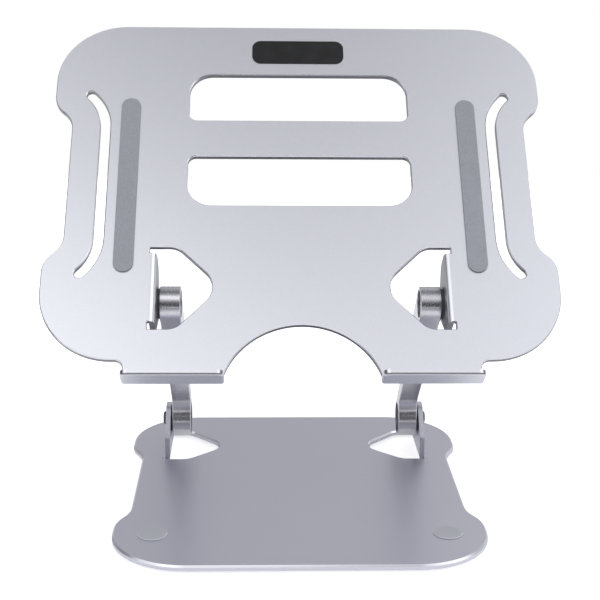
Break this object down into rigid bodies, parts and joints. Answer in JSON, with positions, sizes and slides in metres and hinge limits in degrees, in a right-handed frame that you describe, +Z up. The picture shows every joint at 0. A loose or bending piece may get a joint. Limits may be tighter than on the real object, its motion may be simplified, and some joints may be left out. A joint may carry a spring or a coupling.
{
  "type": "laptop stand",
  "caption": "Folding sheet-metal laptop stand: a waisted base plate, two leaning arms on friction hinges and a tilting slotted tray with raised front lips.",
  "frame": {"origin": "on the table, under the centre of the base plate, midway between the arms", "axes": "+X to the user's right, +Y away from the user, +Z up"},
  "size_m": [0.281, 0.2216, 0.2679],
  "materials": {
    "aluminium": "bead-blasted and anodised, satin",
    "arm_metal": "anodised, satin",
    "grey_rubber": "matt",
    "foot_rubber": "matt",
    "badge": "smooth",
    "dark_steel": "blackened",
    "washer": "matt",
    "nut_metal": "plated"
  },
  "bodies": {
    "base": {"base_plate": "aluminium", "bumper_left": "grey_rubber", "bumper_right": "grey_rubber", "foot_front_left": "foot_rubber", "foot_front_right": "foot_rubber", "foot_rear_left": "foot_rubber", "foot_rear_right": "foot_rubber", "lower_pin_left": "dark_steel", "lower_pin_right": "dark_steel", "lower_washer_left": "washer", "lower_washer_right": "washer", "lower_springs_left": "dark_steel", "lower_springs_right": "dark_steel", "lower_nut_left": "nut_metal", "lower_nut_right": "nut_metal"},
    "arms": {"arm_left": "arm_metal", "arm_right": "arm_metal"},
    "tray_hinge": {"upper_pin_left": "dark_steel", "upper_pin_right": "dark_steel", "upper_washer_left": "washer", "upper_washer_right": "washer", "upper_springs_left": "dark_steel", "upper_springs_right": "dark_steel", "upper_nut_left": "nut_metal", "upper_nut_right": "nut_metal"},
    "tray": {"tray_plate": "aluminium", "badge": "badge", "tray_strip_left": "grey_rubber", "tray_strip_right": "grey_rubber", "lip_pad_left": "grey_rubber", "lip_pad_right": "grey_rubber"}
  },
  "joints": [
    {"name": "arm_raise", "type": "hinge", "parent": "base", "child": "arms", "pos_m": [0, 0.0587, 0.0238], "axis": [-1, 0, 0], "range_deg": [-43, 35]},
    {"name": "tray_level", "type": "hinge", "parent": "arms", "child": "tray_hinge", "pos_m": [0, -0.03265, 0.12455], "axis": [-1, 0, 0], "range_deg": [-35, 43]},
    {"name": "tray_tilt", "type": "hinge", "parent": "tray_hinge", "child": "tray", "pos_m": [0, -0.03265, 0.12455], "axis": [1, 0, 0], "range_deg": [-47.7, 12]}
  ],
  "couplings": [
    {"joint": "tray_level", "follows": "arm_raise", "ratio": -1}
  ]
}
